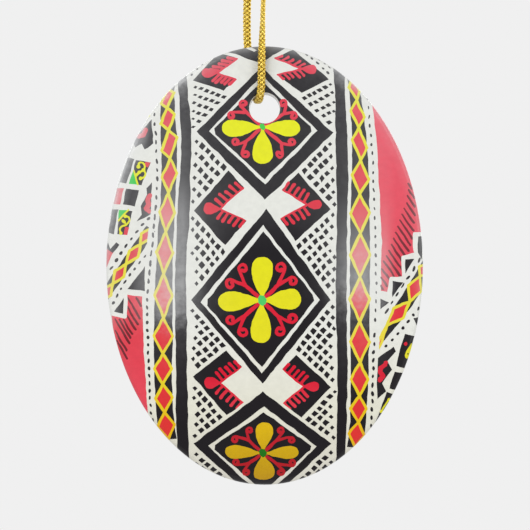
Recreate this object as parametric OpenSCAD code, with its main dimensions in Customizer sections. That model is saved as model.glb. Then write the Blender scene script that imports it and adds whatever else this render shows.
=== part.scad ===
// Oval glazed porcelain ornament, printed on both faces with a decorated egg,
// on a loop of metallic braid that ends in an overhand knot.
// Millimetres. The origin is the centre of the hook that carries the loop,
// +Z is up and the front face looks along -Y.

/* [Oval] */
// Width of the oval
oval_w = 58.5; // [52:0.5:64]
// Height of the oval
oval_h = 81; // [76:0.5:86]
// Thickness over both printed coats
oval_t = 4; // [3.6:0.1:4.2]
// Rounding of the rim
rim_r = 1.2; // [0.8:0.1:1.5]
// Thickness of each printed coat
coat_t = 0.1; // [0.05:0.05:0.15]

/* [Hole] */
// Diameter of the hanging hole
hole_d = 5.5; // [5.4:0.1:6]
// Rounding of the hole's edges
hole_edge_r = 0.6; // [0.4:0.1:0.8]
// From the top of the oval down to the middle of the hole
hole_drop = 11.5; // [11.5:0.1:12]

/* [Cord] */
// Diameter of the braid
cord_d = 1.3; // [1:0.1:1.3]
// Diameter of the overhand knot
knot_d = 7; // [6:0.5:7.5]
// Height of the overhand knot
knot_h = 6.6; // [6:0.2:6.6]

/* [Hidden] */
$fn = 180;

oval_z = -86;                               // middle of the oval
hole_z = oval_z + oval_h / 2 - hole_drop;   // middle of the hole
half_t = oval_t / 2;
cut_over = 0.5;                             // how far a cutter runs past what it cuts
cord_sides = 8;
knot_foot = 6.7;                            // underside of the knot

// The loop, from the front foot of the knot round the hook, down in front of the oval,
// back through the hole and up behind. Each point is [x, y, z].
top_front_route = [
    [0.3, -0.6, 6.6], [0.35, -0.7, 5.5], [0.6, -1.1, 4.1], [1, -1.9, 2.7],
    [1.3, -2.5, 1.4], [1.45, -2.85, -0.1], [1.45, -2.9, -2.5], [1.4, -2.9, -5.8]];
sling_route = [
    [1.4, -2.9, -6.2], [1.2, -2.95, -10], [0.9, -3, -16], [0.6, -3, -22], [0.3, -3, -28],
    [0, -3, -33], [-0.25, -3, -37.5], [-0.38, -3, -41.5], [-0.5, -3, -45.5], [-0.56, -3, -49.5],
    [-0.6, -2.95, -52.5], [-0.7, -2.75, -53.9], [-0.85, -2.3, -54.9], [-1.03, -1.4, -55.42],
    [-1.2, 0, -55.5], [-1.33, 1.4, -55.45], [-1.42, 2.3, -54.95], [-1.52, 2.75, -53.9],
    [-1.75, 2.95, -52.5], [-2.3, 3, -49.8],
    [-3, 3, -46.6], [-3.3, 3, -43], [-3.3, 3, -37.5], [-3.1, 3, -33], [-2.8, 3, -28],
    [-2.4, 3, -22], [-2.05, 3, -16], [-1.7, 2.95, -10], [-1.5, 2.9, -6.2]];
top_back_route = [
    [-0.3, 0.6, 6.6], [-0.35, 0.7, 5.5], [-0.6, 1.1, 4.1], [-1, 1.9, 2.7],
    [-1.3, 2.5, 1.4], [-1.45, 2.85, -0.1], [-1.45, 2.9, -2.5], [-1.5, 2.9, -5.8]];
tail_front_route = [
    [0.65, -0.3, 13.4], [0.7, -0.4, 15], [0.95, -0.7, 17.2], [1.4, -1.2, 19.4], [2, -1.6, 21.4]];
tail_back_route = [
    [-0.65, 0.3, 13.4], [-0.7, 0.4, 15], [-1, 0.6, 17], [-1.6, 0.9, 18.9], [-2.4, 1.1, 20.6]];

function unit(v) = v / norm(v);

// Direction of a route at point i, from the points on either side of it
function heading(route, i) =
    unit(route[min(i + 1, len(route) - 1)] - route[max(i - 1, 0)]);

// A side vector kept square to each heading by carrying it on from the last point
function side_at(route, i) =
    let (d = heading(route, i), last = i == 0 ? [1, 0, 0] : side_at(route, i - 1))
    unit(last - (last * d) * d);

// One polyhedron swept along a route, with a ring of points at each route point
module tube(route, d, sides = cord_sides) {
    n = len(route);
    points = [
        for (i = [0 : n - 1])
            let (h = heading(route, i), u = side_at(route, i), v = cross(h, u))
            for (k = [0 : sides - 1])
                route[i] + d / 2 * (cos(360 * k / sides) * u + sin(360 * k / sides) * v)];
    walls = [
        for (i = [0 : n - 2], k = [0 : sides - 1])
            let (next = (k + 1) % sides)
            each [
                [i * sides + k, (i + 1) * sides + next, i * sides + next],
                [i * sides + k, (i + 1) * sides + k, (i + 1) * sides + next]]];
    first_cap = [for (k = [0 : sides - 1]) k];
    last_cap = [for (k = [sides - 1 : -1 : 0]) (n - 1) * sides + k];
    polyhedron(points = points, faces = concat(walls, [first_cap, last_cap]));
}

// Half of the section through a round disc with rounded corners, x outwards, y through it
module disc_section(radius, half_thickness, corner) {
    translate([0, -half_thickness]) square([radius - corner, 2 * half_thickness]);
    translate([0, corner - half_thickness]) square([radius, 2 * (half_thickness - corner)]);
    for (side = [-1, 1])
        translate([radius - corner, side * (half_thickness - corner)]) circle(r = corner);
}

// The section of the porcelain: sunk under both coats, and bare round the rim
module body_section() {
    disc_section(oval_h / 2 - coat_t, half_t - coat_t, rim_r - coat_t);
    translate([0, rim_r - half_t]) square([oval_h / 2, 2 * (half_t - rim_r)]);
}

// The section of the coat on the +y side, wrapped over the rounded rim
module coat_section() {
    difference() {
        disc_section(oval_h / 2, half_t, rim_r);
        body_section();
        translate([-cut_over, -oval_t]) square([oval_h, oval_t]);
    }
}

// Turns a section into an upright oval, its +y side to the front
module oval() {
    translate([0, 0, oval_z])
        scale([oval_w / oval_h, 1, 1])
            rotate([90, 0, 0]) rotate_extrude() children();
}

// Section of the hanging hole with its rounded edges, x outwards, y through it
module hole_section() {
    reach = half_t + cut_over;
    wide = hole_d / 2 + hole_edge_r;
    translate([0, -reach]) square([hole_d / 2, 2 * reach]);
    for (side = [0, 1])
        mirror([0, side])
            difference() {
                translate([0, half_t - coat_t - hole_edge_r]) square([wide, hole_edge_r + coat_t + cut_over]);
                translate([wide, half_t - coat_t - hole_edge_r]) circle(r = hole_edge_r);
            }
}

module hanging_hole() {
    translate([0, 0, hole_z]) rotate([90, 0, 0]) rotate_extrude() hole_section();
}

module porcelain_body() {
    color("white")
        difference() {
            oval() body_section();
            hanging_hole();
        }
}

module print_coat() {
    difference() {
        oval() coat_section();
        hanging_hole();
    }
}

module front_print() {
    color("crimson") print_coat();
}

module back_print() {
    color("firebrick") mirror([0, 1, 0]) print_coat();
}

module cord_sling() {
    color("goldenrod") tube(sling_route, cord_d);
}

module cord_top_front() {
    color("gold") tube(top_front_route, cord_d);
}

module cord_top_back() {
    color("gold") tube(top_back_route, cord_d);
}

// Outer shape of the overhand knot in the doubled braid
module cord_knot() {
    shoulder = knot_h / 3;
    color("darkgoldenrod")
        translate([0, 0, knot_foot])
            rotate_extrude()
                polygon([[0, 0], [knot_d / 3, 0], [knot_d / 2, shoulder],
                         [knot_d / 2, knot_h - shoulder], [knot_d / 3, knot_h], [0, knot_h]]);
}

module cord_tail_front() {
    color("gold") tube(tail_front_route, cord_d);
}

module cord_tail_back() {
    color("gold") tube(tail_back_route, cord_d);
}

porcelain_body();
front_print();
back_print();
cord_sling();
cord_top_front();
cord_top_back();
cord_knot();
cord_tail_front();
cord_tail_back();
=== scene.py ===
"""Looks of an oval porcelain ornament, printed on both faces with a decorated egg, on a gold braid."""

import math
import random
from functools import partial, reduce

import bpy
import numpy as np
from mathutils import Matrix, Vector, noise
from mathutils.geometry import delaunay_2d_cdt


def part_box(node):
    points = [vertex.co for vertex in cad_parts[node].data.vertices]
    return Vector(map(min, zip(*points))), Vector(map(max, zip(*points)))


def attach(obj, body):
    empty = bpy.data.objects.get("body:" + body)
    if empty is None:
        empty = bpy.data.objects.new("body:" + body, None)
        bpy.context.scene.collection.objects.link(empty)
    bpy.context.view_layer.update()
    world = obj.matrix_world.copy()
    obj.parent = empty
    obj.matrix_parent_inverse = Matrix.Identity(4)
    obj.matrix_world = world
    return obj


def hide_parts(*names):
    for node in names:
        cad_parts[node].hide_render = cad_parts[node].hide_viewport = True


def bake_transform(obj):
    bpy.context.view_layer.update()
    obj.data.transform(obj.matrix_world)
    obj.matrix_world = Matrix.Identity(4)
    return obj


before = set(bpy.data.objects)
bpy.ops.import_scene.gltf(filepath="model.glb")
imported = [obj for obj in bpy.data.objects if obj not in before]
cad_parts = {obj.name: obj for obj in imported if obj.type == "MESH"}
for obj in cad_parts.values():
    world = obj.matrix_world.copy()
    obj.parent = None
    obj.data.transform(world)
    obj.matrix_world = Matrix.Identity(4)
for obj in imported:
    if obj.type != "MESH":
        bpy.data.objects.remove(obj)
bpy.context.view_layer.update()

MM = 0.001


def around(count):
    """Angles at even steps round a circle."""
    return [math.tau * k / count for k in range(count)]


def placed(name, data):
    made = bpy.data.objects.new(name, data)
    bpy.context.collection.objects.link(made)
    return made


def smooth_mesh(name, points, faces, materials, slots):
    """slots holds, for each face, the number of its material in the list."""
    mesh = bpy.data.meshes.new(name)
    mesh.from_pydata(points, [], faces)
    for each in materials:
        mesh.materials.append(bpy.data.materials[each])
    mesh.polygons.foreach_set("material_index", slots)
    mesh.polygons.foreach_set("use_smooth", [True] * len(faces))
    return mesh


def keep_vectors(mesh, name, vectors):
    """One vector for each point, for the materials."""
    layer = mesh.attributes.new(name, "FLOAT_VECTOR", "POINT")
    layer.data.foreach_set("vector", [value for vector in vectors for value in vector])


# The oval, from the CAD coat on the front: all in mm
coat_low, coat_high = (Vector(corner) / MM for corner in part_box("front_print"))
OVAL_W = coat_high.x - coat_low.x
OVAL_H = coat_high.z - coat_low.z
OVAL_Z = (coat_high.z + coat_low.z) / 2
HALF_T = -coat_low.y  # from the middle of the porcelain to the printed face
RIM_R = HALF_T + coat_high.y  # rounding of the rim, which the coat follows to its end
COAT_T = 0.1  # thickness of the coat
HOLE_Z = 29  # middle of the hanging hole above the middle of the oval
HOLE_ROUND = 3.35  # where the face starts to round over into the hole
HOLE_FILLET = 0.7  # radius of that rounding, on the coat
HOLE_PRINT = 2.86  # where the coat stops inside it


# Drawing with ink: outlines in mm about the middle of the oval, x right, z up
AREAS = []  # (ink, outline), in the order in which they are laid


def smooth(points, step=1):
    """A curve through the points, sampled about every step."""
    points = list(map(Vector, points))
    last = len(points) - 1
    out = []
    for i in range(last):
        a, b, c, d = (points[min(max(k, 0), last)] for k in range(i - 1, i + 3))
        pieces = max(1, round((c - b).length / step))
        for j in range(pieces):
            t = j / pieces
            out.append(0.5 * (2 * b + (c - a) * t + (2 * a - 5 * b + 4 * c - d) * t * t
                              + (3 * b - a - 3 * c + d) * t ** 3))
    out.append(points[-1])
    return out


def meeting(a, b, c, d):
    """Where the line through a and b crosses the line through c and d."""
    a, b, c, d = map(Vector, (a, b, c, d))
    u, v, w = b - a, d - c, c - a
    return a + u * ((w.x * v.y - w.y * v.x) / (u.x * v.y - u.y * v.x))


def heading(degrees):
    angle = math.radians(degrees)
    return Vector((math.cos(angle), math.sin(angle)))


def fill(ink, outline):
    AREAS.append((ink, list(map(Vector, outline))))


def dot(ink, middle, wide, tall=None, along=Vector((1, 0)), sides=10):
    """An ellipse, wide in the direction of along."""
    across = Vector((-along.y, along.x)) * (tall or wide) / 2
    reach = along * wide / 2
    fill(ink, [Vector(middle) + reach * math.cos(t) + across * math.sin(t) for t in around(sides)])


def stroke(ink, points, width, closed=False):
    """A pen line with round joints and ends. width is one number, or one for each point."""
    points = list(map(Vector, points))
    widths = list(width) if isinstance(width, list) else [width] * len(points)
    if closed:
        points.append(points[0])
        widths.append(widths[0])
    for a, b, wide_a, wide_b in zip(points, points[1:], widths, widths[1:]):
        across = (b - a).orthogonal().normalized() / 2
        fill(ink, [a + across * wide_a, b + across * wide_b, b - across * wide_b, a - across * wide_a])
    for point, wide in zip(points, widths):
        dot(ink, point, wide)


NET_START = 1.12  # from the apex of a net to its first square
NET_ROWS = 14  # more than fit


def net(edge_a, edge_b, pitch_a, pitch_b, seed, size, out_to):
    """Small black squares in rows along two edges, from where the edges meet out to a stripe.

    Each edge is its inner and its outer end. The squares shrink to dots beside the stripe."""
    chance = random.Random(seed)
    apex = meeting(*edge_a, *edge_b)
    u = (Vector(edge_a[1]) - apex).normalized()
    v = (Vector(edge_b[1]) - apex).normalized()
    for i in range(NET_ROWS):
        for j in range(NET_ROWS):
            middle = apex + u * (NET_START + i * pitch_a) + v * (NET_START + j * pitch_b)
            middle += Vector((chance.uniform(-0.08, 0.08), chance.uniform(-0.08, 0.08)))
            sizes = [chance.uniform(0.82, 1.14) for corner in range(4)]
            if abs(middle.x) > out_to:
                continue
            small = 0.7 if abs(middle.x) > out_to - 0.9 else 1
            along, across = u * size / 2 * small, v * size / 2 * small
            corners = (along + across, across - along, -along - across, along - across)
            fill("black", [middle + corner * large for corner, large in zip(corners, sizes)])


def diamond(outer, border, inner):
    """A black diamond with a white border inside it."""
    stroke("white", outer, 1.1, closed=True)
    fill("black", outer)
    fill("white", border)
    fill("black", inner)


def petal(ink, root, tip, width):
    """A drop that is widest some way before its blunt tip."""
    root, tip = Vector(root), Vector(tip)
    across = (tip - root).orthogonal().normalized()
    steps = 20
    left, right = [], []
    for k in range(steps + 1):
        t = 1 - (1 - k / steps) ** 1.5
        share = np.interp(t, (0, 0.12, 0.3, 0.48, 0.62, 0.74, 0.85, 0.93, 0.98, 1),
                          (0.1, 0.24, 0.6, 0.87, 0.98, 1, 0.92, 0.7, 0.42, 0.16))
        middle = root + (tip - root) * t
        left.append(middle + across * width / 2 * share)
        right.append(middle - across * width / 2 * share)
    fill(ink, left + right[::-1])


def scroll(ink, root, fork, curls, radius, width):
    """A stem that forks into two tendrils, each curling round its own middle."""
    root, fork = Vector(root), Vector(fork)
    stroke(ink, [root, (root + fork) / 2, fork], [width * 1.35, width * 1.45, width * 1.25])
    ahead = (fork - root).normalized()
    for curl in curls:
        middle = Vector(curl)
        away = fork - middle
        turn = 1 if ahead.cross(middle - fork) > 0 else -1
        start = math.atan2(away.y, away.x) + turn * math.acos(min(radius / away.length, 1))
        points, widths = [fork], [width * 1.3]
        steps = 11
        for k in range(steps + 1):
            t = k / steps
            angle = start + turn * math.tau * 0.92 * t
            points.append(middle + radius * (1 - 0.55 * t * t) * heading(math.degrees(angle)))
            widths.append(width * (1 + 0.3 * t))
        stroke(ink, points, widths)


HEART = [(-0.8, 0.35), (-0.5, 0.9), (0.45, 0.75), (0.9, 0.1), (0.75, -0.6), (0.1, -0.95), (-0.65, -0.45)]


def flower(inks, middle, petals, scrolls, heart, curl):
    """petals are (tip, width) and scrolls (fork, curl, curl), both from the flower's middle."""
    petal_ink, scroll_ink, heart_ink = inks
    middle = Vector(middle)
    for fork, *curls in scrolls:
        scroll(scroll_ink, middle + (Vector(fork) - middle) * 0.16, fork, curls, *curl)
    for tip, width in petals:
        tip = Vector(tip)
        petal(petal_ink, middle + (tip - middle).normalized() * 0.3, tip, width)
    fill(heart_ink, [middle + Vector(corner) * heart for corner in HEART])


TEETH = 5  # along each edge of a comb


def comb(tip, top, inner_top, kite, inner_low, low, drop, leans, reach, width):
    """A black comb beside a white kite, red teeth along both edges and a red drop at the tip."""
    side = 1 if tip[0] > 0 else -1
    outline = [tip, top, inner_top, kite, inner_low, low]
    stroke("white", outline, 1, closed=True)
    fill("black", outline)
    kite = Vector(kite)
    for end, up, lean in ((Vector(inner_top), 1, leans[0]), (Vector(inner_low), -1, leans[1])):
        out = heading(lean) * Vector((side, up))
        stroke("red", [kite.lerp(end, 0.05), kite.lerp(end, 0.97)], [0.4, 0.28])
        for k in range(TEETH):
            foot = kite.lerp(end, (k + 0.75) / (TEETH + 0.1)) + out * width * 0.4
            long = reach * (1.08 if k % 2 else 0.92) * (1 - 0.04 * k)
            stroke("red", [foot, foot + out * long * 0.5, foot + out * long], [width, width, width + 0.1])
    wide, tall = drop
    petal("red", kite - Vector((side * 0.3, 0)), kite + Vector((side * wide, 0)), tall)


def stripe(left, right):
    """A black stripe between two edges, each a list of points from the top down."""
    fill("black", smooth(left, 2) + smooth(right, 2)[::-1])


def lattice(crossings, halves, skews=(), width=0.5):
    """A black band with red diamonds between two yellow lines that keep crossing.

    halves: each diamond's half width. skews: how far its right corner is raised, its left lowered."""
    crossings = list(map(Vector, crossings))
    sides = []
    for k, (top, low) in enumerate(zip(crossings, crossings[1:])):
        across = (low - top).orthogonal().normalized() * halves[k]
        across.y += skews[k] if k < len(skews) else 0
        middle = (top + low) / 2
        sides.append((middle - across, middle + across))
    start = (crossings[0] - crossings[1]) / 2
    stop = (crossings[-1] - crossings[-2]) / 2
    left, right = ([side[0] + start, *side, side[-1] + stop] for side in zip(*sides))
    fill("black", left + right[::-1])
    cells = list(zip(crossings, crossings[1:], sides))
    for top, low, (left, right) in cells:
        fill("warm_red", [top, right, low, left])
    for top, low, (left, right) in cells:
        for corner in (right, left):
            stroke("straw", [top, corner, low], width)


def ladder(route, pitch, seed, dash):
    """Black dashes in a row along a white band."""
    chance = random.Random(seed)
    fine = smooth(route, 0.1)
    gone, due = 0, 0.2
    for a, b in zip(fine, fine[1:]):
        gone += (b - a).length
        if gone < due:
            continue
        due += pitch
        along = (b - a).normalized()
        along = (along + along.orthogonal() * chance.uniform(-0.2, 0.2)).normalized()
        dot("black", b, dash[0] * chance.uniform(0.8, 1.15), dash[1] * chance.uniform(0.8, 1.2),
            along, sides=8)


def hatch(feet, lean, longs, width=0.42):
    """Fine dark lines in a row on the red, each from its foot."""
    for foot, long in zip(map(Vector, feet), longs):
        end = foot + heading(lean) * long
        stroke("maroon", [foot, (foot + end) / 2, end], [width * 0.7, width, width])


def tendril(points, width):
    """A yellow vine in a small window, with a bud at each end."""
    vine = smooth(points, 0.35)
    stroke("yellow", vine, width)
    for end in (vine[0], vine[-1]):
        dot("yellow", end, width * 2.1)


# The picture: an egg in wax-resist style, seen from its front
UPPER = [(-0.6, 36.5), (12.6, 24.4), (0.1, 12.1), (-12.6, 24.6)]  # top, right, foot, left
MIDDLE = [(0.3, 10.5), (12.1, -6.3), (-0.4, -21.8), (-13.5, -6.3)]
LOWER = [(-0.3, -23.2), (12.2, -32.8), (-0.3, -44.5), (-13.1, -32.8)]

# Combs, left and right, from the top down: tip, top, inner top, kite, inner foot, foot
COMBS = [
    [(-13.2, 34.1), (-8.5, 39.1), (-5, 38.1), (-8.8, 35.4), (-5.2, 34.3), (-7.5, 32.1)],
    [(11.8, 34.3), (5.3, 39.7), (1.7, 38.2), (6.9, 36.1), (2.2, 35.1), (6.9, 31.7)],
    [(-13, 10.1), (-6.7, 17.5), (-3.8, 14.4), (-8.3, 10.5), (-3.4, 8.2), (-7.3, 3.7)],
    [(12.1, 10.4), (6.2, 17.1), (3.2, 14.1), (7.8, 11.2), (2.9, 8.6), (5.7, 4.5)],
    [(-13.2, -20.4), (-7.1, -15.6), (-4.2, -18.6), (-8.3, -21.6), (-3.8, -25.3), (-6.9, -27.7)],
    [(12.2, -22.3), (5.8, -16.4), (3.2, -19.1), (7.3, -22.3), (3.3, -25.4), (6.7, -28)],
]
DROPS = [(2.8, 1.8), (2.6, 1.65), (2.9, 2.2), (2.7, 1.8), (2.8, 2.1), (2.7, 1.7)]  # long and wide
LEANS = [(8, 46), (28, 44), (40, 54), (58, 53), (50, 48), (52, 48)]  # of the upper and lower teeth
TOOTH_SIZES = [(1.7, 0.52), (1.35, 0.42)] + [(1.7, 0.52)] * 4


def nets():
    """The nets between the diamonds and the combs, and the dashes by the top combs."""
    for side, corner, out_to, combs in ((-1, 3, 13.3, COMBS[::2]), (1, 1, 12.9, COMBS[1::2])):
        top, middle, low = combs
        net((UPPER[0], UPPER[corner]), (top[5], top[0]), 1.6, 1.12, 11 + side, 0.74, out_to)
        net((UPPER[2], UPPER[corner]), (middle[1], middle[0]), 1.36, 1.7, 21 + side, 0.92, out_to)
        net((MIDDLE[0], MIDDLE[corner]), (middle[5], middle[0]), 1.5, 1.38, 31 + side, 0.86, out_to)
        net((MIDDLE[2], MIDDLE[corner]), (low[1], low[0]), 1.42, 1.4, 41 + side, 0.92, out_to)
        net((LOWER[0], LOWER[corner]), (low[5], low[0]), 1.42, 1.4, 51 + side, 0.92, out_to)
        foot = (side * 1.5, -41.5), (side * 10, -49)
        net((LOWER[2], LOWER[corner]), foot, 1.42, 1.4, 61 + side, 0.95, out_to)
    ladder([(-9.4, 39.2), (-13.9, 34.7)], 1.35, 71, (0.6, 0.35))
    ladder([(7.6, 39.1), (12.4, 34.8)], 1.3, 72, (0.7, 0.4))
    ladder([(8.9, 38.9), (12.2, 36.3)], 1.2, 73, (0.6, 0.35))


def centre_panel():
    """The column of diamonds and combs."""
    fill("black", [(-0.8, 37.2), (-7.5, 39.6), (-6, 41.5), (4.5, 41.5), (3.6, 39.9)])
    fill("white", [(-3.9, 40.6), (-2.6, 40.3), (-1.3, 39.6), (-1.9, 39.3), (-3.2, 39.9)])
    nets()
    for corners, drop, leans, tooth in zip(COMBS, DROPS, LEANS, TOOTH_SIZES):
        comb(*corners, drop, leans, *tooth)
    diamond(UPPER, [(-0.5, 35), (9.7, 24.8), (0.1, 14.9), (-10.2, 24.7)],
            [(-0.5, 33.9), (8.4, 25.6), (8.7, 24.6), (0, 15.9), (-9.1, 24.2), (-9.2, 25.2)])
    diamond(MIDDLE, [(-0.3, 7.5), (10.1, -6.3), (-0.5, -19.8), (-11.8, -6.7)],
            [(-0.2, 6.3), (8.8, -5.3), (9.1, -6.5), (-0.5, -18.7), (-10.6, -7.4), (-10.5, -6.2)])
    diamond(LOWER, [(-0.1, -25.9), (9.6, -33.3), (-0.2, -42.8), (-10.4, -33.2)],
            [(-0.2, -27), (8.5, -33.1), (8.4, -33.9), (-0.2, -41.7), (-9.2, -33.9), (-9.2, -33)])


def flowers():
    flower(("yellow", "red", "green"), (-0.4, 25.5),
           [((-7.8, 25.2), 3.15), ((6.5, 25.2), 3.15), ((-0.4, 18.7), 3.8)],
           [((-3.5, 22.8), (-5.3, 22.8), (-3.5, 20.6)), ((3.1, 22.5), (4.9, 22.7), (2.7, 20.5)),
            ((-3.3, 28.1), (-4, 29.7), (-6.1, 27.6)), ((3.5, 28), (5.3, 27.6), (3.4, 29.8))],
           heart=0.7, curl=(0.62, 0.46))
    flower(("yellow", "red", "green"), (-0.5, -6.4),
           [((-0.4, 1.6), 3.95), ((-8.5, -6.6), 3.75), ((6.7, -6.1), 3.75), ((-0.8, -14.2), 3.75)],
           [((-3.5, -3.7), (-4, -0.6), (-6.3, -3.4)), ((2.5, -3.6), (2.9, -0.4), (5.1, -2.9)),
            ((-3.7, -9.3), (-6.2, -10), (-4, -12.2)), ((2.4, -9.3), (5, -9.6), (2.8, -12))],
           heart=1, curl=(0.8, 0.52))
    flower(("gold", "deep_red", "deep_green"), (-0.4, -34.5),
           [((0.1, -28.9), 3.2), ((-7.3, -34.2), 2.5), ((6.3, -34.4), 2.3), ((0.1, -39.5), 3.9)],
           [((-2.9, -32.2), (-2.8, -30.4), (-5.4, -32)), ((2.2, -32.2), (2.9, -30.4), (4.9, -32.1)),
            ((-2.8, -36.4), (-5.2, -36.2), (-3.4, -38)), ((2.2, -36.4), (5, -36.3), (3, -38))],
           heart=0.9, curl=(0.56, 0.44))


def bands():
    """The wide black stripes, the lattice bands outside them and the ladders outside those."""
    lattice([(16.1, 34.6), (16.9, 30.4), (17.3, 25.4), (17.7, 19.3), (17.5, 13.2), (17.6, 6),
             (17.5, -2.1), (17.5, -10.3), (17.5, -17.8), (17.4, -24), (17.2, -28.7), (16.7, -33.6)],
            [1, 1.27, 1.4, 1.62, 1.75, 1.85, 1.85, 1.75, 1.6, 1.5, 1.5], [-0.5, -0.75, -0.85, -0.4])
    lattice([(-17.9, 32.6), (-17.9, 29), (-17.7, 24.9), (-17.4, 19.7), (-17.7, 13.4), (-18.2, 6.2),
             (-18.6, -1.5), (-18.6, -9.6), (-18.7, -16.2), (-18.7, -21.8), (-18.4, -27),
             (-17.8, -32)],
            [1.25, 1.35, 1.42, 1.42, 1.4, 1.5, 1.65, 1.75, 1.65, 1.55, 1.55], [1, 0.85, 1.2, 0.5])
    ladder([(18.9, 31), (19.4, 25.5), (19.9, 19.5), (20.1, 13), (20.4, 6), (20.5, -2.5),
            (20.3, -11.5)], 1.7, 3, (0.74, 0.36))
    ladder([(20.2, -12.6), (20, -18), (19.6, -31)], 1.52, 13, (0.95, 0.52))
    ladder([(-20.3, 28), (-19.8, 18), (-20.1, 10.7), (-20.7, 3.4), (-21.4, -3.6)], 1.7, 4, (0.92, 0.42))
    ladder([(-21.5, -4.6), (-21.6, -9), (-21.4, -17), (-21, -26), (-20.5, -28.9)], 1.4, 14, (0.82, 0.5))
    stripe([(-16.1, 37), (-16.1, 35.6), (-15.4, 24.6), (-15.5, 17), (-16.1, 9.7), (-16.4, 0),
            (-16.5, -6.3), (-16.3, -19.5), (-16.4, -25.8), (-16.2, -30.8), (-16, -38)],
           [(-14.5, 37), (-14.5, 35.6), (-13.5, 24.6), (-13.7, 17), (-13.8, 9.7), (-14.5, 0),
            (-14.4, -6.3), (-14.3, -19.5), (-14.1, -25.8), (-14, -30.8), (-13.9, -38)])
    stripe([(12.6, 38), (13, 30.5), (13, 25.5), (13.2, 15.7), (13.3, 9.7), (13.1, -6.3),
            (13.4, -20.7), (13.2, -33.7), (13.2, -38)],
           [(14.7, 38), (14.8, 30.5), (15.1, 25.5), (15.4, 15.7), (15.2, 9.7), (15.1, -6.3),
            (15.2, -20.7), (14.9, -33.7), (14.9, -38)])


def right_side():
    """The red field with its hatched fringe, and what lies below its stepped white edge."""
    step = [(29.5, 5.9), (27.5, 5.8), (27.8, 2.1), (25.5, 1.5), (25.6, -2.3), (23.2, -2.4),
            (22.9, -5.2), (21.3, -4.9)]
    inside = [(19.4, 33), (19.9, 29.5), (20.6, 23), (20.9, 18.1), (21.3, 9.5), (21.5, 4.6), (21.4, -4.4)]
    fill("rose", smooth(inside, 2) + step[::-1] + [(31, 8), (31, 33)])
    feet = [(26.4, 15.2), (26.5, 14), (26.3, 12.8), (26.1, 11.6), (25.7, 10.5), (25.3, 9.4), (24.9, 8.3),
            (24.5, 7.2), (24.1, 6.1), (23.7, 5), (23.3, 3.9), (22.9, 2.8), (22.4, 1.8), (21.9, 0.8),
            (21.6, -0.6), (21.4, -2.2), (21.3, -3.6)]
    hatch(feet, -56, [1.2, 1.8, 2.3, 2.8, 3.2, 3.6, 3.9, 4.2, 4.2, 4.2, 4.4, 4.6, 4.6, 4, 2.9, 1.9, 0.9])
    fill("white", [step[0], step[1], step[2], (28.4, 2.2), (29.5, -1)])
    fill("white", [(28, 2.3), step[3], step[4], step[5], step[6], (22, -7), (30, 2)])
    stroke("white", step, 0.65)
    fill("black", [(28.2, 5.4), (29.2, 5.4), (29, 1), (28.2, 2.4)])
    fill("black", [(25.9, 1.2), (27.5, 1.2), (25.9, -1.5)])
    fill("black", [(23.5, -2.8), (25.5, -3.1), (23.5, -5.8)])
    fill("black", [(21.3, -6), (22.8, -6.8), (21.3, -8.1)])
    ladder([(28.5, 1.2), (25, -4.4), (21.8, -9.3)], 1.85, 5, (1.1, 0.4))
    lattice([(30.2, 0.2), (28.6, -1.9), (26.7, -6.6), (22.5, -11.1), (19.6, -17.6)], [1.25, 1.3, 1.3, 0.35])
    fill("white", [(18.9, -8.6), (21.1, -8.6), (21, -18.6), (18.9, -18.6)])
    ladder([(28.4, -7.7), (25, -12), (21.5, -15.7)], 1.5, 6, (0.75, 0.5))
    fill("black", [(20.8, -17.1), (23.7, -14.9), (24.2, -15.8), (22.5, -17.6), (23.4, -19.2),
                   (21.7, -21.6), (22.3, -23.2), (20.7, -24.6)])
    dot("red", (22.3, -17.8), 0.9, 0.7)
    stroke("red", [(22.1, -18.3), (21.4, -18.8), (21.2, -19.5), (21.8, -20.4), (21.3, -21)], 0.85)
    fill("black", [(25.7, -12.5), (27.6, -13), (26.2, -19.1), (24.2, -18.5)])
    dot("red", (25.9, -14.4), 0.7, 0.8)
    petal("yellow", (27.1, -14.3), (26.1, -17.1), 1.1)
    dot("black", (26.3, -16.3), 0.3)
    fill("black", [(23.9, -19.5), (25.9, -19.9), (24.4, -23), (22.9, -22.6)])
    fill("black", [(22.4, -23.2), (23.6, -23.7), (22, -27), (20.3, -29.2)])
    fill("black", [(27.3, -9.6), (28.3, -9.4), (28, -11)])
    tendril([(22.9, -24.7), (22, -25.9), (21.4, -26.9)], 0.32)


def window(corners, green, red, edge, vines, leaf):
    """A black window with a green and a red corner, a yellow edge and a yellow vine."""
    fill("black", corners)
    fill("green", green)
    fill("red", red)
    stroke("yellow", edge, 0.3)
    for vine in vines:
        tendril(vine, 0.34)
    petal("yellow", *leaf, 0.6)


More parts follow.
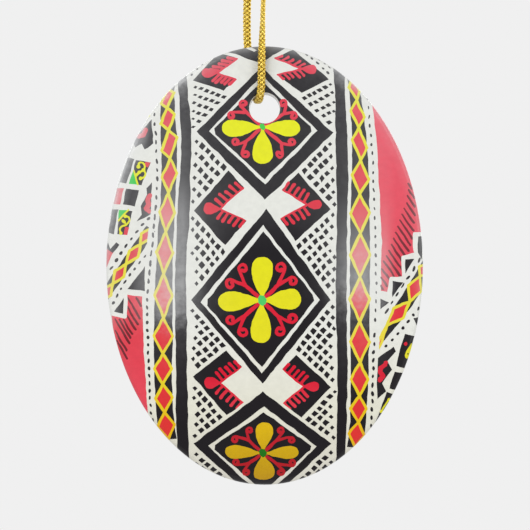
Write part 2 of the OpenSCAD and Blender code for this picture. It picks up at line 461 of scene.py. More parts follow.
def left_side():
    """The rows of small windows, the slanting bands and the lower red field with its fringe."""
    fill("black", [(-20.8, 26.9), (-20.5, 22.4), (-22.1, 21.4), (-22.6, 22.5), (-23.9, 21.7), (-24.3, 22.9)])
    stroke("red", [(-21.9, 24.9), (-22.3, 24), (-23.2, 23.8)], 0.9)
    fill("yellow", [(-21.3, 28.5), (-21.1, 27.6), (-22, 26.9)])
    fill("black", [(-25.2, 19.9), (-24, 19.6), (-25.5, 15.1), (-26.7, 15.3)])
    window([(-23.7, 19.4), (-21, 19), (-22.6, 14.8), (-23.4, 14.9), (-24.1, 17.8)],
           [(-24.2, 17.7), (-23.4, 14.9), (-25, 15.1)], [(-22.1, 19.1), (-21, 19), (-21.5, 18), (-22, 18.2)],
           [(-24.1, 17.5), (-23.3, 14.9)],
           [[(-23.2, 18.1), (-23.1, 18.8), (-22.5, 18.9), (-22.1, 18.2), (-22.3, 17.5), (-23.1, 17.1)],
            [(-22.3, 17.5), (-21.95, 16.9), (-22.2, 16.2), (-22.8, 16)]], ((-22.9, 17.3), (-23.8, 16.4)))
    fill("red", [(-27.2, 14.3), (-25.9, 14.2), (-26.6, 11.2), (-27.8, 11.4)])
    fill("black", [(-25.5, 14.1), (-23.1, 13.9), (-23.9, 10.9), (-26.1, 11.2)])
    fill("black", [(-28.1, 10.4), (-26.9, 10.3), (-27.8, 5.8), (-28.8, 6.1)])
    window([(-26.7, 10.2), (-24.3, 10), (-25.3, 5.6), (-27.2, 5.8)],
           [(-26.8, 10.25), (-24.9, 10.1), (-26.9, 8.5)],
           [(-25.6, 7.2), (-24.9, 7), (-25.3, 5.6), (-26, 5.7)], [(-25, 10.2), (-26.9, 8.2)],
           [[(-25.6, 9), (-25, 8.8), (-24.9, 8.1), (-25.4, 7.5), (-26.2, 7.3), (-26.7, 6.7), (-26.5, 6)]],
           ((-25.4, 7.6), (-26.3, 8.4)))
    fill("black", [(-20.8, 15.3), (-21.8, 14.3), (-21.6, 13), (-22.8, 10.9), (-22.7, 9.4), (-23.6, 8),
                   (-20.9, 9.6)])
    stroke("red", [(-21.1, 12.8), (-21.5, 12), (-21.3, 11.2), (-21.8, 10.4), (-21.3, 10.1)], 0.9)
    fill("red", [(-29.6, 3.4), (-27.7, 2.6), (-29.4, -0.8)])
    fill("black", [(-28.7, 4.3), (-28.3, 3), (-27.3, 4.4), (-26.7, 3.8), (-27.9, 2.3), (-29.2, 3.2)])
    ladder([(-21.3, 8.9), (-24.9, 4.5), (-28.8, -1.4)], 1.62, 7, (0.9, 0.5))
    lattice([(-20.9, 6.8), (-22.8, 3.9), (-25.5, 0.3), (-28, -3.3), (-30.2, -6.6)], [1] * 4)
    ladder([(-21.8, 1.9), (-25.2, -2.2), (-28.3, -7.7)], 1.5, 8, (0.8, 0.45))
    fill("white", [(-21, 10), (-19.9, 10), (-21.3, -6), (-22.6, -6)])
    ladder([(-20.1, 10.7), (-20.7, 3.4), (-21.4, -3.6)], 1.7, 9, (0.92, 0.42))
    fill("black", [(-22, -0.1), (-22.1, -4.8), (-25.2, -4.3)])
    fill("black", [(-25.9, -6), (-26, -8.9), (-27.6, -8.5)])
    step = [(-29.5, -8.9), (-28.3, -8.8), (-25.7, -9.4), (-25.5, -5.05), (-22.4, -5.4)]
    inside = [(-22.6, -5.7), (-22.4, -10.1), (-22.2, -15.8), (-21.9, -21.4), (-21.5, -27), (-21.2, -30)]
    fill("rose", step[1:] + smooth(inside, 2) + [(-30, -30), (-30, -16), (-27.8, -13.8)])
    feet = [(-23.7, -5.9), (-25.2, -6), (-25.3, -7.6), (-25.3, -9.2), (-26, -9.9), (-26.7, -9.9),
            (-27.5, -9.8), (-27.5, -12), (-27.2, -13.8)]
    hatch(feet, -60, [1.8, 4.3, 3.7, 3, 3.2, 4, 5.2, 4.2, 3.8])
    stroke("white", step, 0.65)


def draw_picture():
    right_side()
    left_side()
    bands()
    centre_panel()
    flowers()


# The printed coat: one closed sheet, its face cut into one area for each ink
RING = 240  # corners round the rim
HOLE_RING = 96  # and round the hole
NEAR = 0.01
noise.seed_set(2)  # or the lines would waver differently in every run


def hand_drawn(points, seed):
    """An outline made a little uneven, as if drawn by hand."""
    out = []
    for a, b in zip(points, points[1:] + points[:1]):
        pieces = max(1, math.ceil((b - a).length / 0.8))
        for k in range(pieces):
            out.append(a.lerp(b, k / pieces))
    for i, point in enumerate(out):
        slow = noise.noise_vector(Vector((point.x * 0.55, point.y * 0.55, 3)))
        quick = noise.noise_vector(Vector((point.x * 1.7, point.y * 1.7, seed * 0.37)))
        out[i] = point + slow.to_2d() * 0.16 + quick.to_2d() * 0.07
    return out


def oval_ring(spread, count=RING):
    """A ring in the shape of the oval, whose half height is spread."""
    return [Vector((spread * OVAL_W / OVAL_H * math.cos(t), spread * math.sin(t))) for t in around(count)]


def hole_ring(radius):
    return [Vector((radius * math.cos(t), HOLE_Z + radius * math.sin(t))) for t in around(HOLE_RING)]


def ring_edges(first, count):
    """Edges of a ring of points, from the number of its first."""
    return [(first + k, first + (k + 1) % count) for k in range(count)]


def on_face(x, z, depth=0):
    """The place and the outward direction at a point of the face, depth under the surface."""
    stretch = OVAL_H / OVAL_W
    spread = math.hypot(x * stretch, z)
    flat_to = OVAL_H / 2 - RIM_R
    from_hole = math.hypot(x, z - HOLE_Z)
    if spread > flat_to:
        out = min((spread - flat_to) / RIM_R, 1)
        down = math.sqrt(1 - out * out)
        radial = Vector((x * stretch * stretch, 0, z)).normalized()
        place = Vector((x, -(HALF_T - RIM_R + RIM_R * down), z))
    elif from_hole < HOLE_ROUND:
        out = min((HOLE_ROUND - from_hole) / HOLE_FILLET, 1)
        down = math.sqrt(1 - out * out)
        radial = -Vector((x, 0, z - HOLE_Z)).normalized()
        place = Vector((x, -(HALF_T - HOLE_FILLET + HOLE_FILLET * down), z))
    else:
        out, down, radial = 0, 1, Vector((1, 0, 0))
        place = Vector((x, -HALF_T, z))
    normal = (radial * out - Vector((0, down, 0))).normalized()
    return place - normal * depth, normal


def counter_clockwise(points):
    area = sum(a.cross(b) for a, b in zip(points, points[1:] + points[:1]))
    return points if area > 0 else points[::-1]


def cut_into_inks():
    """Triangles of the face, each with the ink that was laid last over it."""
    rim = [oval_ring(OVAL_H / 2 - RIM_R + RIM_R * math.sin(math.radians(a))) for a in (0, 20, 40, 60, 75, 90)]
    hole = [hole_ring(HOLE_ROUND - (HOLE_ROUND - HOLE_PRINT) * t) for t in (0, 0.4, 0.75, 1)]
    outlines = [rim[-1]] + [hand_drawn(points, seed) for seed, (ink, points) in enumerate(AREAS)] + [hole[-1]]
    inks = ["white"] + [ink for ink, points in AREAS]
    points, faces, edges = [], [], []
    for outline in outlines:
        faces.append(list(range(len(points), len(points) + len(outline))))
        points += counter_clockwise(outline)
    for ring in rim[:-1] + hole[:-1]:
        edges += ring_edges(len(points), len(ring))
        points += ring
    points, _, triangles, _, _, sources = delaunay_2d_cdt(points, edges, faces, 0, 1e-5)
    bare = len(outlines) - 1
    kept = [(triangle, inks[max(source)]) for triangle, source in zip(triangles, sources)
            if 0 in source and bare not in source]
    return points, kept


def back_of_coat(points, borders):
    """The underside: triangles between the coat's borders, flush with the porcelain."""
    points, edges = list(points), list(borders)
    for share in (1, 0.4):
        ring = oval_ring(OVAL_H / 2 - RIM_R * share, RING // 2)
        edges += ring_edges(len(points), len(ring))
        points += ring
    places = [on_face(*point, COAT_T)[0] for point in points]
    flat = [Vector((place.x, place.z)) for place in places]
    out, _, triangles, sources, _, _ = delaunay_2d_cdt(flat, edges, [], 0, 1e-6)
    return places, out, triangles, sources


def coat_mesh(name, turned):
    """The coat as a mesh; turned puts it on the back, the same way up."""
    points, kept = cut_into_inks()
    used = sorted({corner for triangle, ink in kept for corner in triangle})
    number = {old: new for new, old in enumerate(used)}
    points = [points[old] for old in used]
    faces = [tuple(number[corner] for corner in triangle) for triangle, ink in kept]
    inks = list(INK_COLOURS)
    slots = [inks.index(ink) for triangle, ink in kept]
    places, normals = map(list, zip(*(on_face(*point) for point in points)))
    picture_at = list(points)
    loops = [normals[corner] for face in faces for corner in face]

    halves = {(face[k], face[(k + 1) % 3]) for face in faces for k in range(3)}
    borders = sorted((a, b) for a, b in halves if (b, a) not in halves)
    ends = sorted({corner for edge in borders for corner in edge})
    order = {corner: k for k, corner in enumerate(ends)}
    low_places, low_flat, low_faces, low_sources = back_of_coat(
        [points[corner] for corner in ends], [(order[a], order[b]) for a, b in borders])
    first = len(places)
    places += low_places
    picture_at += [Vector((place.x, place.z)) for place in low_places]
    same = {k: source[0] for k, source in enumerate(low_sources) if source}
    for a, b in borders:
        faces.append((b, a, first + order[a], first + order[b]))
        slots.append(0)
    for triangle in low_faces:
        middle = sum((low_flat[corner] for corner in triangle), Vector((0, 0))) / 3
        if (middle - Vector((0, HOLE_Z))).length > HOLE_PRINT + NEAR:
            faces.append(tuple(first + same[corner] for corner in triangle[::-1]))
            slots.append(0)

    turn = -1 if turned else 1
    places = [(turn * p.x * MM, turn * p.y * MM, (p.z + OVAL_Z) * MM) for p in places]
    mesh = smooth_mesh(name, places, faces, inks, slots)
    keep_vectors(mesh, "picture", [(*p, 0) for p in picture_at])
    mesh.update()
    for face in mesh.polygons[len(kept):]:
        loops += [Vector((turn * face.normal.x, turn * face.normal.y, face.normal.z))] * face.loop_total
    mesh.normals_split_custom_set([(turn * n.x, turn * n.y, n.z) for n in loops])
    return mesh


def printed_coat(node, name, turned):
    coat = placed(name, coat_mesh(name, turned))
    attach(coat, "ornament")
    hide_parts(node)


# The gold cord: one braid from tail to tail, through the knot, the hole and the knot again
# The same points as the CAD tubes, in mm
TOP_FRONT = [(0.3, -0.6, 6.6), (0.35, -0.7, 5.5), (0.6, -1.1, 4.1), (1, -1.9, 2.7), (1.3, -2.5, 1.4),
             (1.45, -2.85, -0.1), (1.45, -2.9, -2.5), (1.4, -2.9, -5.8)]
SLING = [(1.4, -2.9, -6.2), (1.2, -2.95, -10), (0.9, -3, -16), (0.6, -3, -22), (0.3, -3, -28),
         (0, -3, -33), (-0.25, -3, -37.5), (-0.38, -3, -41.5), (-0.5, -3, -45.5), (-0.56, -3, -49.5),
         (-0.6, -2.95, -52.5), (-0.7, -2.75, -53.9), (-0.85, -2.3, -54.9), (-1.03, -1.4, -55.42),
         (-1.2, 0, -55.5), (-1.33, 1.4, -55.45), (-1.42, 2.3, -54.95), (-1.52, 2.75, -53.9),
         (-1.75, 2.95, -52.5), (-2.3, 3, -49.8), (-3, 3, -46.6), (-3.3, 3, -43), (-3.3, 3, -37.5),
         (-3.1, 3, -33), (-2.8, 3, -28), (-2.4, 3, -22), (-2.05, 3, -16), (-1.7, 2.95, -10),
         (-1.5, 2.9, -6.2)]
TOP_BACK = [(-0.3, 0.6, 6.6), (-0.35, 0.7, 5.5), (-0.6, 1.1, 4.1), (-1, 1.9, 2.7), (-1.3, 2.5, 1.4),
            (-1.45, 2.85, -0.1), (-1.45, 2.9, -2.5), (-1.5, 2.9, -5.8)]
TAIL_FRONT = [(0.65, -0.3, 13.4), (0.7, -0.4, 15), (0.95, -0.7, 17.2), (1.4, -1.2, 19.4), (2, -1.6, 21.4)]
TAIL_BACK = [(-0.65, 0.3, 13.4), (-0.7, 0.4, 15), (-1, 0.6, 17), (-1.6, 0.9, 18.9), (-2.4, 1.1, 20.6)]

CARRIERS = 4  # ribbons that wind each way
LAY = 3.2  # length of one turn of a ribbon
ORBIT = 0.54  # from the cord's middle to a ribbon's
WEAVE = 0.09  # how far a ribbon rises and dips over the next
WIDE = 1.12  # how much wider than round the braid is
THIN = 0.6  # and how much thinner
# Along the cord from where it passes under the hole's top edge, and the angle it has twisted there
TWIST = [(-110, 400), (-80, 250), (-55, 190), (-35, 130), (-17, 84), (-11, 40), (-6, 0), (0, 0),
         (18, 0), (40, -70), (60, -180), (85, -260), (110, -400)]
RIBBON_W = 0.5
RIBBON_T = 0.14
# Section of a ribbon, as shares of its width and thickness
SECTION = [(-0.4, -0.5), (0.4, -0.5), (0.5, 0), (0.26, 0.42), (0, 0.52), (-0.26, 0.42), (-0.5, 0)]
CORE_R = 0.4
CORE_SIDES = 8
STEP = 0.8 / 7  # length of cord between the sections of the mesh
PAIR = 0.66  # from the middle of the doubled cord to each strand
KNOT_THICKNESS = 2.35  # how near the doubled cord lies to itself in the knot


def evenly(points, step):
    """The polyline with its corners moved to an even spacing, near step."""
    points = np.asarray(points, float)
    along = np.concatenate([[0], np.cumsum(np.linalg.norm(np.diff(points, axis=0), axis=1))])
    wanted = np.linspace(0, along[-1], max(2, round(along[-1] / step) + 1))
    return np.stack([np.interp(wanted, along, points[:, k]) for k in range(3)], axis=1)


def knot_line():
    """Middle of the doubled cord through its overhand knot, from the knot's foot to its head.

    A wide loose knot is pulled straight little by little, while its coils push each other apart."""
    t = np.linspace(-2.35, 2.35, 160)
    loose = np.stack([1.5 * (t ** 3 - 3 * t), 1.5 * (t ** 4 - 4 * t ** 2), 0.45 * (t ** 5 - 10 * t)], axis=1)
    foot, head = np.array([0, 0, 5.6]), np.array([0, 0, 14.6])
    line = evenly(np.vstack([foot, foot + (0, 0, 1), loose + (0, 0, 10), head - (0, 0, 1), head]), 0.45)
    for turn in range(900):
        line[2:-2] += 0.22 * (line[1:-3] - 2 * line[2:-2] + line[3:-1])
        gap = line[:, None] - line[None]
        apart = np.linalg.norm(gap, axis=2) + 1e-9
        number = np.arange(len(line))
        far_along = np.abs(number[:, None] - number[None]) * 0.45 > 1.6 * KNOT_THICKNESS
        press = np.where(far_along & (apart < KNOT_THICKNESS), KNOT_THICKNESS - apart, 0)
        push = (gap / apart[..., None] * press[..., None]).sum(axis=1) * 0.3
        push[:2] = push[-2:] = 0
        line += np.clip(push, -0.3, 0.3)
        if turn % 10 == 9:
            line = evenly(line, 0.45)
    return line


def unit(vectors):
    return vectors / np.linalg.norm(vectors, axis=1)[:, None]


def carried_frames(line, first_side):
    """For each point its direction and a side vector, carried along without twisting."""
    ahead = unit(np.gradient(line, axis=0))
    sides = []
    side = np.asarray(first_side, float)
    for direction in ahead:
        side = side - direction * side.dot(direction)
        side = side / np.linalg.norm(side)
        sides.append(side)
    return ahead, np.array(sides)


def turned(vectors, axes, angles):
    """Each vector, square to its axis, turned about it."""
    return vectors * np.cos(angles)[:, None] + np.cross(axes, vectors) * np.sin(angles)[:, None]


def knot_strands():
    """The two strands of the doubled cord in the knot, each from its foot to its head."""
    line = knot_line()
    at_foot, at_head = np.array([0.45, -0.89, 0]), np.array([0.91, -0.42, 0])
    ahead, sides = carried_frames(line, at_foot)
    last = sides[-1]
    rest = math.atan2(np.cross(last, at_head).dot(ahead[-1]), last.dot(at_head))
    sides = turned(sides, ahead, rest * np.linspace(0, 1, len(line)))
    inside = slice(3, -3)
    return (line + sides * PAIR)[inside], (line - sides * PAIR)[inside]


def cord_line():
    """Middle of the whole cord, evenly spaced, in mm."""
    front, back = knot_strands()
    points = [*TAIL_FRONT[::-1], *front[::-2], *TOP_FRONT[1:], *SLING[1:], *TOP_BACK[-2:0:-1],
              *back[::2], *TAIL_BACK]
    return evenly(smooth(points, 0.25), STEP)


def braid_mesh(line):
    """Flat ribbons wound round a core in both directions, over and under each other."""
    count = len(line)
    along = np.arange(count) * np.linalg.norm(line[1] - line[0])
    ahead, sides = carried_frames(line, (0.91, 0.42, 0))
    in_hole = int(np.argmin(line[:, 2]))
    off = math.atan2(np.cross(sides[in_hole], (1, 0, 0)).dot(ahead[in_hole]), sides[in_hole][0])
    places, angles = zip(*TWIST)
    twist = np.interp(along - along[in_hole], places, np.radians(angles))
    sides = turned(sides, ahead, off + twist)
    other = np.cross(ahead, sides)
    from_end = np.minimum(along, along[-1] - along)
    closing = np.clip(from_end / 0.9, 0, 1) ** 0.4 * 0.75 + 0.25
    points, faces, slots, lay_at, rises = [], [], [], [], []
    for way in (1, -1):
        for carrier in range(CARRIERS):
            angle = way * math.tau * along / LAY + math.tau * carrier / CARRIERS
            rise = way * WEAVE * np.cos(math.pi * along / (LAY / 2 / CARRIERS))
            out = turned(sides, ahead, angle)
            flat = sides * (np.cos(angle) * WIDE)[:, None] + other * (np.sin(angle) * THIN)[:, None]
            middle = line + flat * ((ORBIT + rise) * closing)[:, None]
            run = unit(np.gradient(middle, axis=0))
            across = unit(np.cross(run, out))
            up = np.cross(across, run)
            faces += tube_faces(len(points), count, len(SECTION))
            rings = [middle + across * (RIBBON_W * u) + up * (RIBBON_T * v) for u, v in SECTION]
            points += [*np.stack(rings, axis=1).reshape(-1, 3)]
            lay_at += [(u, s, way * (carrier + 1)) for s in along for u, v in SECTION]
            rises += [r / WEAVE for r in rise for corner in SECTION]
            slots += [0] * (len(faces) - len(slots))
    sparse = np.unique([*range(0, count, 4), count - 1])
    faces += tube_faces(len(points), len(sparse), CORE_SIDES)
    turns = around(CORE_SIDES)
    rings = [line[sparse] + (sides[sparse] * math.cos(t) * WIDE + other[sparse] * math.sin(t) * THIN)
             * (CORE_R * closing[sparse])[:, None] for t in turns]
    points += [*np.stack(rings, axis=1).reshape(-1, 3)]
    lay_at += [(0, along[k], 0) for k in sparse for t in turns]
    rises += [0] * (len(lay_at) - len(rises))
    slots += [1] * (len(faces) - len(slots))
    mesh = smooth_mesh("gold_cord", (np.array(points) * MM).tolist(), faces,
                       ("gold_ribbon", "gold_core"), slots)
    keep_vectors(mesh, "lay", lay_at)
    # rise also feeds the gold's painted shade where a ribbon dips under the next
    mesh.attributes.new("rise", "FLOAT", "POINT").data.foreach_set("value", rises)
    mesh.update()
    return mesh


def tube_faces(first, rings, corners):
    """Walls and caps of a closed tube whose rings follow one another among the points."""
    faces = [(first + i * corners + k, first + i * corners + (k + 1) % corners,
              first + (i + 1) * corners + (k + 1) % corners, first + (i + 1) * corners + k)
             for i in range(rings - 1) for k in range(corners)]
    last = first + (rings - 1) * corners
    return faces + [tuple(range(first, first + corners))[::-1], tuple(range(last, last + corners))]


def gold_cord():
    line = cord_line()
    cord = placed("gold_cord", braid_mesh(line))
    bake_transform(cord)
    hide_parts("cord_sling", "cord_top_front", "cord_top_back", "cord_knot",
                "cord_tail_front", "cord_tail_back")


# Materials
LIGHT = 1.05  # how bright a white face looks in this light
GLOSS = 0.011  # what the glaze mirrors of it, on every colour


def linear(colour):
    """A colour as it looks, in 8-bit values, as the light it sends back."""
    return [c / 255 / 12.92 if c <= 10 else ((c / 255 + 0.055) / 1.055) ** 2.4 for c in colour]


def pigment(colour):
    """The base colour that looks like the given one in this light, under the glaze's gloss."""
    return [min(max((c - GLOSS) / LIGHT, 0.0004), 1) for c in linear(colour)] + [1]


def metal(*shades):
    """Stops of a ramp whose colours look as given, without gloss over them."""
    return [(place, linear(colour) + [1]) for place, colour in shades]


def join(tree, made, inputs):
    """Sets each input, by name or number, to a number or a colour, or links it to an output."""
    for name, value in inputs.items():
        if isinstance(value, bpy.types.NodeSocket):
            tree.links.new(value, made.inputs[name])
        else:
            made.inputs[name].default_value = value


def node(tree, kind, inputs=(), **settings):
    made = tree.nodes.new("ShaderNode" + kind)
    for name, value in settings.items():
        setattr(made, name, value)
    join(tree, made, dict(inputs))
    return made


def maths(tree, operation, *values):
    """A Math node's output; values are numbers or outputs."""
    return node(tree, "Math", enumerate(values), operation=operation).outputs[0]


def ramp(tree, value, *stops):
    """A curve over value through stops, each a value with a number or a colour."""
    low, high = stops[0][0], stops[-1][0]
    spread = node(tree, "MapRange", {"From Min": low, "From Max": high, "Value": value})
    made = node(tree, "ValToRGB", {0: spread.outputs[0]})
    made.color_ramp.interpolation = "EASE" if len(stops) < 3 else "LINEAR"
    elements = made.color_ramp.elements
    while len(elements) < len(stops):
        elements.new(0.5)
    for element, (place, level) in zip(elements, stops):
        element.position = (place - low) / (high - low)
    for element, (place, level) in zip(elements, stops):
        element.color = (level, level, level, 1) if isinstance(level, (int, float)) else level
    return made.outputs["Color"]


def noise_at(tree, place, scale, detail=2, roughness=0.5):
    inputs = {"Scale": scale, "Detail": detail, "Roughness": roughness, "Vector": place}
    return node(tree, "TexNoise", inputs).outputs["Fac"]


def mixed(tree, amount, first, second, blend="MIX"):
    inputs = {"Factor": amount, 6: first, 7: second}
    return node(tree, "Mix", inputs, data_type="RGBA", blend_type=blend).outputs[2]


def scaled(tree, vector, factors):
    return node(tree, "VectorMath", {0: vector, 1: factors}, operation="MULTIPLY").outputs[0]


def attribute(tree, name, output="Vector"):
    return node(tree, "Attribute", attribute_name=name).outputs[output]


def picture_place(tree):
    """The place in the picture, in mm: as a vector, and its x and z."""
    place = attribute(tree, "picture")
    parts = node(tree, "SeparateXYZ", {0: place})
    return place, *parts.outputs[:2]


def material(name, **sockets):
    made = bpy.data.materials.new(name)
    made.use_nodes = True
    shader = made.node_tree.nodes["Principled BSDF"]
    for socket, value in sockets.items():
        shader.inputs[socket.replace("_", " ")].default_value = value
    return made, made.node_tree, shader


def bump(tree, shader, height, distance):
    made = node(tree, "Bump", {"Distance": distance, "Height": height})
    join(tree, shader, {"Normal": made.outputs[0]})


def painted_sheen():
    """How much painted white sheen lies over the picture, by place in mm: the egg's shine as printed, and rim
    highlights.
    """
    group = bpy.data.node_groups.new("painted_sheen", "ShaderNodeTree")
    group.interface.new_socket("Amount", in_out="OUTPUT", socket_type="NodeSocketFloat")
    calc, curve, times = partial(maths, group), partial(ramp, group), partial(maths, group, "MULTIPLY")
    place, x, z = picture_place(group)
    blotch = noise_at(group, place, 0.75, 3, 0.6)
    z_ragged = calc("ADD", z, calc("MULTIPLY_ADD", blotch, 5, -2.5))
    wide = times(x, OVAL_H / OVAL_W)
    from_middle = calc("SQRT", calc("ADD", calc("POWER", wide, 2), calc("POWER", z, 2)))

    # Painted sheen: the egg's shine as the print carries it, by height and in streaks down the left and right
    # bands
    over_all = curve(z, (-40, 0.05), (-36, 0), (-14, 0.015), (3, 0.03), (10, 0.12), (22, 0.135),
                     (33, 0.12), (38, 0.15), (41, 0.28))
    left_across = curve(x, (-28.5, 0.1), (-25, 0.35), (-23.5, 0.5), (-21.5, 0.75), (-18.5, 1), (-15, 0.98),
                        (-13.2, 0.6), (-10.5, 0.24), (-4, 0))
    left_down = curve(z_ragged, (-30, 0), (-18, 0.08), (-12.5, 0.15), (-8.5, 0.48), (-5, 0.57), (3, 0.54),
                      (8, 0.45), (13, 0.31), (16.5, 0.19), (28, 0.12), (32, 0.24), (35, 0.4))
    # Painted highlight along the rim of the oval
    edge = curve(from_middle, (36.3, 0), (38.3, 0.2), (39.6, 0.31), (40.5, 0.42))
    edge_across = curve(x, (-23, 1), (-20, 0))
    edge_down = curve(z, (-14, 0.1), (-8, 0.8), (16, 1), (22, 1), (30, 0.3))
    right_across = curve(x, (5, 0), (10.5, 0.2), (13, 0.75), (14.5, 1), (17.5, 1.35), (19.8, 1.25),
                         (22.3, 1), (24.2, 0.25), (26.5, 0.2), (28.5, 0.5))
    right_down = curve(z_ragged, (-27, 0), (-18, 0.07), (-11, 0.13), (-7.5, 0.27), (-4, 0.42), (3, 0.37),
                       (8, 0.2), (13, 0.09), (26, 0.06), (32, 0.12), (35, 0.22))
    # A fainter painted highlight along the rim, growing towards the top
    border = curve(from_middle, (37.5, 0), (39.3, 0.1), (40.5, 0.3))
    border_down = curve(z, (-26, 0.1), (5, 0.6), (24, 1))

    total = over_all
    for parts in ((left_across, left_down), (edge, edge_across, edge_down), (right_across, right_down),
                  (border, border_down)):
        total = calc("ADD", total, reduce(times, parts))
    mottled = times(total, calc("MULTIPLY_ADD", blotch, 0.5, 0.75))
    capped = calc("POWER", calc("MINIMUM", calc("MAXIMUM", mottled, 0), 0.9), 1.7)
    join(group, group.nodes.new("NodeGroupOutput"), {0: capped})
    return group


# How each ink looks at heights in the picture, in mm, with painted shade darkening several towards the bottom
INK_COLOURS = {
    "white": [(-38, (215, 212, 200)), (-33, (219, 216, 202)), (-26, (227, 226, 210)),
              (-18, (230, 229, 218)), (-12, (232, 233, 226)), (38, (232, 233, 227))],
    "black": [(-38, (36, 33, 36)), (38, (38, 36, 40))],
    "red": [(-28, (226, 66, 80)), (-20, (216, 30, 54)), (0, (222, 44, 62)), (26, (225, 56, 76)),
            (38, (226, 62, 84))],
    "rose": [(-28, (229, 74, 90)), (-12, (225, 66, 80)), (0, (228, 72, 90)), (10, (231, 77, 95)),
             (30, (233, 88, 106))],
    "warm_red": [(-30, (220, 56, 54)), (-12, (224, 52, 62)), (16, (225, 58, 72)), (34, (229, 68, 84))],
    "deep_red": [(-40, (172, 34, 40)), (-30, (188, 36, 48))],
    "maroon": [(-20, (112, 34, 42)), (16, (120, 44, 54))],
    "yellow": [(-20, (230, 222, 40)), (30, (232, 235, 30))],
    "straw": [(-30, (229, 184, 26)), (-22, (230, 208, 40)), (-14, (233, 214, 60)), (-8, (232, 220, 62)),
              (26, (232, 227, 56))],
    "gold": [(-39, (187, 145, 12)), (-34, (203, 165, 12)), (-29, (220, 182, 9))],
    "green": [(-8, (84, 205, 108)), (14, (70, 205, 90)), (26, (76, 207, 84))],
    "deep_green": [(-36, (34, 112, 30)), (-32, (44, 120, 34))],
}
PAINTED_SHEEN_WHITE = (231, 232, 233)
# How much of the painted sheen lies over an ink, where that isn't all of it
PAINTED_SHEEN_SHARES = {"red": 1.15, "warm_red": 1.05, "yellow": 0.7, "straw": 0.75, "green": 0.6}


def ink(name, levels, painted_sheen_group, sheen_share):
    """A printed colour under clear glaze, with painted sheen mixed over it."""
    _, tree, shader = material(name, Roughness=0.24, IOR=1.5, Specular_IOR_Level=0.22,
                               Coat_Weight=0.16, Coat_Roughness=0.08, Coat_IOR=1.4)
    place, _, z = picture_place(tree)
    base = ramp(tree, z, *((height, pigment(colour)) for height, colour in levels))
    uneven = ramp(tree, noise_at(tree, place, 0.8, 3, 0.55), (0.3, 0.97), (0.7, 1.03))
    laid = mixed(tree, 1, base, uneven, "MULTIPLY")
    # Painted sheen: white mixed over the ink, by the place in the picture
    over = node(tree, "Group", node_tree=painted_sheen_group)
    amount = maths(tree, "MULTIPLY", over.outputs[0], sheen_share)
    join(tree, shader, {"Base Color": mixed(tree, amount, laid, pigment(PAINTED_SHEEN_WHITE))})
    bump(tree, shader, noise_at(tree, place, 0.35), 0.00004)


def printed_inks():
    painted_sheen_group = painted_sheen()
    for name, levels in INK_COLOURS.items():
        ink(name, levels, painted_sheen_group, PAINTED_SHEEN_SHARES.get(name, 1))


def porcelain():
    """Glazed white porcelain, on the CAD node that keeps its own mesh."""
    made, tree, shader = material("porcelain", Roughness=0.14, IOR=1.52, Coat_Weight=0.5, Coat_Roughness=0.04)
    place = node(tree, "TexCoord").outputs["Object"]
    cloudy = noise_at(tree, place, 260, 3, 0.55)
    white = ramp(tree, cloudy, (0.3, pigment((226, 226, 222))), (0.7, pigment((238, 238, 236))))
    specks = ramp(tree, noise_at(tree, place, 1500, 2, 0.6), (0.35, 0.1), (0.7, 0.2))
    join(tree, shader, {"Base Color": white, "Roughness": specks})
    bump(tree, shader, noise_at(tree, place, 420), 0.00005)
    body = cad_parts["porcelain_body"]
    body.data.materials.clear()
    body.data.materials.append(made)


def gold_ribbon():
    """Metallic yarn: bright filaments along it, and painted shade where it dips under another yarn."""
    _, tree, shader = material("gold_ribbon", Metallic=1, Roughness=0.3)
    calc = partial(maths, tree)
    lay = attribute(tree, "lay")
    filaments = noise_at(tree, scaled(tree, lay, (5, 0.9, 5)), 1, 3, 0.6)
    patches = noise_at(tree, scaled(tree, lay, (1.2, 2.6, 7)), 1, 3, 0.6)
    shade = calc("ADD", calc("MULTIPLY", filaments, 0.4), calc("MULTIPLY", patches, 0.6))
    # Painted shade: darker where the ribbon dips under the next, by its rise
    tone_and_painted_shade = calc("ADD", shade, calc("MULTIPLY", attribute(tree, "rise", "Fac"), 0.09))
    gold = ramp(tree, tone_and_painted_shade, *metal((0.36, (140, 108, 40)), (0.46, (196, 160, 58)), (0.57, (234, 202, 88)),
                                  (0.67, (248, 224, 132))))
    dull = ramp(tree, patches, (0.3, 0.2), (0.7, 0.42))
    join(tree, shader, {"Base Color": gold, "Roughness": dull})
    bump(tree, shader, shade, 0.00008)


def gold_core():
    """The dull yellow thread inside the braid, dark so the gaps between ribbons look shaded: partly painted
    shade.
    """
    _, tree, shader = material("gold_core", Roughness=0.7)
    thread = noise_at(tree, attribute(tree, "lay"), 3)
    shades = metal((0.35, (124, 92, 24)), (0.65, (172, 132, 44)))
    join(tree, shader, {"Base Color": ramp(tree, thread, *shades)})


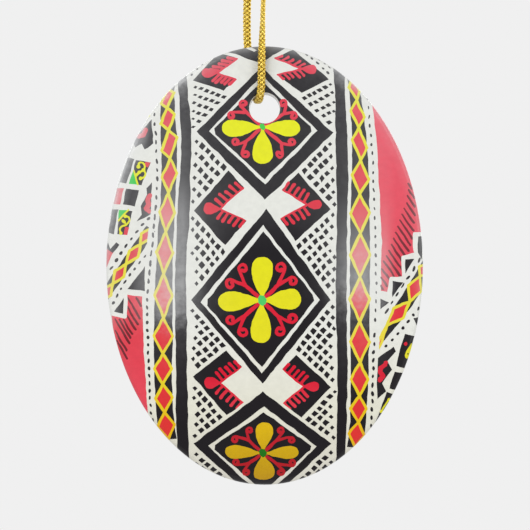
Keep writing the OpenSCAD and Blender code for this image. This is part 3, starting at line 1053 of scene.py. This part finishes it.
# Camera, light and floor
BACKDROP = (240, 240, 240)
ROOM = 0.55  # what the glaze and the metal see of the room
FRAME_W = 0.0975  # width of the view at the printed face
LENS = 100
SENSOR = 36
LAMP_SIZE = 0.8
LAMPS = [("key", (-0.5, -0.6, 0.35), 3.8), ("fill", (0.65, -0.55, 0.05), 2.6),
         ("rear_left", (-0.55, 0.62, 0.35), 2.6), ("rear_right", (0.6, 0.6, 0.2), 2.4)]
FLOOR_R = 0.14
FLOOR_Z = -0.175
FLOOR_SIDES = 96


def camera():
    data = bpy.data.cameras.new("camera")
    data.lens = LENS
    data.sensor_width = SENSOR
    seen = placed("camera", data)
    away = FRAME_W * LENS / SENSOR + HALF_T * MM
    seen.location = (0.00006, -away, (OVAL_Z + 0.1) * MM)
    seen.rotation_euler = (math.pi / 2, 0, 0)
    bpy.context.scene.camera = seen


def soft_light(name, place, power):
    data = bpy.data.lights.new(name, "AREA")
    data.shape = "DISK"
    data.size = LAMP_SIZE
    data.energy = power
    lamp = placed(name, data)
    lamp.location = place
    aim = Vector((0, 0, OVAL_Z * MM))
    lamp.rotation_euler = (aim - lamp.location).to_track_quat("-Z", "Y").to_euler()


def studio():
    scene = bpy.context.scene
    scene.view_settings.view_transform = "Standard"
    world = bpy.data.worlds.new("studio")
    world.use_nodes = True
    tree = world.node_tree
    seen = node(tree, "LightPath").outputs["Is Camera Ray"]
    sky = mixed(tree, seen, (ROOM, ROOM, ROOM, 1), linear(BACKDROP) + [1])
    join(tree, tree.nodes["Background"], {"Color": sky})
    scene.world = world
    for lamp in LAMPS:
        soft_light(*lamp)


def pale_floor():
    data = bpy.data.meshes.new("floor")
    corners = [(FLOOR_R * math.cos(t), FLOOR_R * math.sin(t), FLOOR_Z) for t in around(FLOOR_SIDES)]
    data.from_pydata(corners, [], [list(range(FLOOR_SIDES))])
    made, tree, shader = material("pale_floor", Roughness=0.8)
    mottle = noise_at(tree, node(tree, "TexCoord").outputs["Object"], 30)
    join(tree, shader, {"Base Color": ramp(tree, mottle, (0.3, 0.8), (0.7, 0.84))})
    data.materials.append(made)
    placed("floor", data)


camera()
studio()
pale_floor()
gold_ribbon()
gold_core()
printed_inks()
porcelain()
gold_cord()
draw_picture()
printed_coat("front_print", "printed_front", turned=False)
printed_coat("back_print", "printed_back", turned=True)
